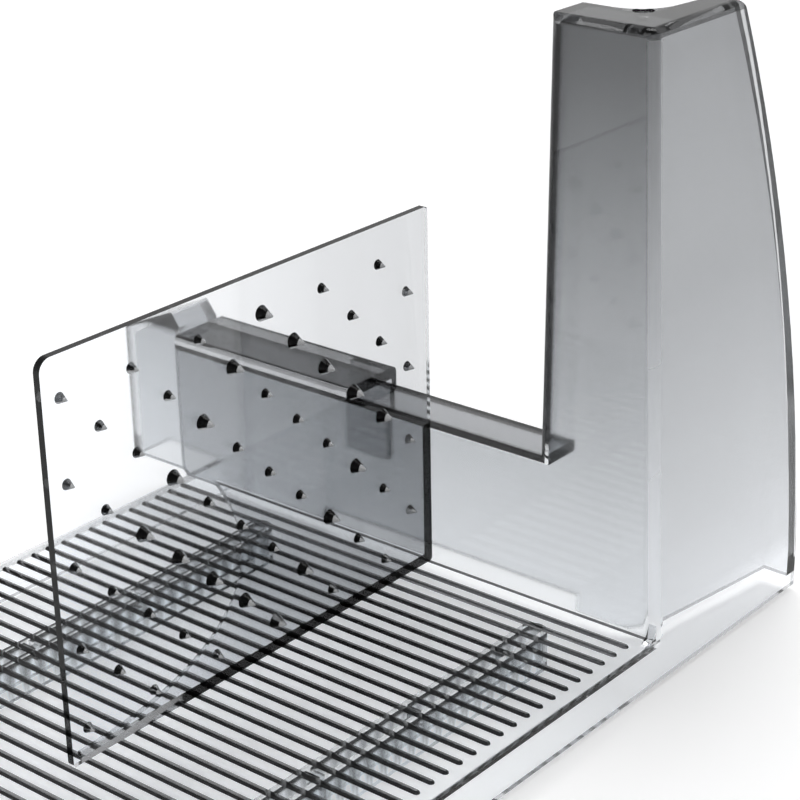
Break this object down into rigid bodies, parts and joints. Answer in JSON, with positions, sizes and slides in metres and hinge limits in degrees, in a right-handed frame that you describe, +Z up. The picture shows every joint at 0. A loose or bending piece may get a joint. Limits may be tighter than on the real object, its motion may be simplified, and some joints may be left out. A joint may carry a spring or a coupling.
{
  "type": "electric food slicer",
  "caption": "Electric slicer with a driven round blade, thickness stop and a clear lift-off food carriage that carries a spiked remnant holder and a tall thumb guard.",
  "frame": {"origin": "middle of the footprint, on the table plane under the feet", "axes": "+X across the food carriage towards the blade and housing, +Y towards the operator, +Z up"},
  "size_m": [0.3256, 0.6633, 0.1841],
  "materials": {
    "smoke": "clear moulded plastic with a faint grey-blue smoke tint",
    "base_paint": "white enamel on die-cast alloy",
    "shell_white": "white ABS",
    "alloy": "satin anodised aluminium",
    "blade_steel": "polished stainless steel",
    "steel": "plain steel",
    "core_steel": "laminated electrical steel",
    "copper": "enamelled copper",
    "bronze": "sintered bronze",
    "nylon": "natural nylon",
    "dial_white": "light grey printed dial",
    "dark_plastic": "dark grey ABS",
    "carbon": "pressed carbon",
    "switch_red": "red ABS",
    "rubber": "black rubber"
  },
  "bodies": {
    "machine": {"base_frame": "base_paint", "rubber_feet": "rubber", "carriage_bed": "base_paint", "glide_strips": "nylon", "bed_screws": "steel", "carriage_buffer": "rubber", "housing_front_shell": "shell_white", "housing_rear_shell": "shell_white", "housing_screws": "steel", "blade_guard": "alloy", "guard_screws": "steel", "gear_frame": "alloy", "shaft_bushes": "bronze", "motor_bearings": "bronze", "stator_core": "core_steel", "stator_coils": "copper", "brush_holder": "dark_plastic", "carbon_brushes": "carbon", "motor_cradle": "alloy", "motor_strap": "steel", "gauge_box": "shell_white", "guide_bushes": "bronze", "dial_ring": "dial_white", "rocker_bezel": "dark_plastic", "rocker_switch": "dark_plastic", "switch_bracket": "steel", "button_collar": "dark_plastic", "button_spring": "steel", "safety_switch": "dark_plastic", "cord_gland": "rubber", "terminal_block": "nylon"},
    "carriage": {"food_carriage": "smoke"},
    "holder": {"remnant_holder": "smoke"},
    "blade_unit": {"blade": "blade_steel", "blade_lock": "dark_plastic", "blade_shaft": "steel", "worm_wheel": "nylon"},
    "motor_unit": {"worm_shaft": "steel", "rotor_core": "core_steel", "rotor_windings": "copper", "commutator": "copper", "cooling_fan": "dark_plastic"},
    "stop": {"stop_plate": "alloy", "stop_bracket": "alloy", "bracket_screws": "steel", "guide_rods": "steel", "thickness_rack": "nylon"},
    "knob": {"thickness_knob": "dark_plastic", "knob_spindle": "nylon"},
    "rocker": {"switch_rocker": "switch_red"},
    "button": {"safety_button": "switch_red"}
  },
  "joints": [
    {"name": "carriage_slide", "type": "slide", "parent": "machine", "child": "carriage", "axis": [0, -1, 0], "range_m": [0, 0.4147]},
    {"name": "holder_slide", "type": "slide", "parent": "carriage", "child": "holder", "axis": [1, 0, 0], "range_m": [0, 0.058]},
    {"name": "motor_spin", "type": "hinge", "parent": "machine", "child": "motor_unit", "pos_m": [0.07875, -0.2356, 0.0496], "axis": [0, 1, 0], "continuous": true},
    {"name": "blade_spin", "type": "hinge", "parent": "machine", "child": "blade_unit", "pos_m": [0.05875, -0.1736, 0.0936], "axis": [1, 0, 0], "continuous": true},
    {"name": "stop_slide", "type": "slide", "parent": "machine", "child": "stop", "axis": [1, 0, 0], "range_m": [0, 0.015]},
    {"name": "knob_turn", "type": "hinge", "parent": "machine", "child": "knob", "pos_m": [0.06875, 0.0324, 0.0345], "axis": [0, 1, 0], "range_deg": [0, 270]},
    {"name": "rocker_tilt", "type": "hinge", "parent": "machine", "child": "rocker", "pos_m": [0.13675, -0.1216, 0.13], "axis": [1, 0, 0], "range_deg": [0, 14]},
    {"name": "button_press", "type": "slide", "parent": "machine", "child": "button", "axis": [0, -1, 0], "range_m": [0, 0.004], "stiffness_N_per_m": 300, "springref_m": -0.004}
  ],
  "couplings": [
    {"joint": "blade_spin", "follows": "motor_spin", "ratio": -0.027778},
    {"joint": "knob_turn", "follows": "stop_slide", "rad_per_m": 314.16}
  ]
}
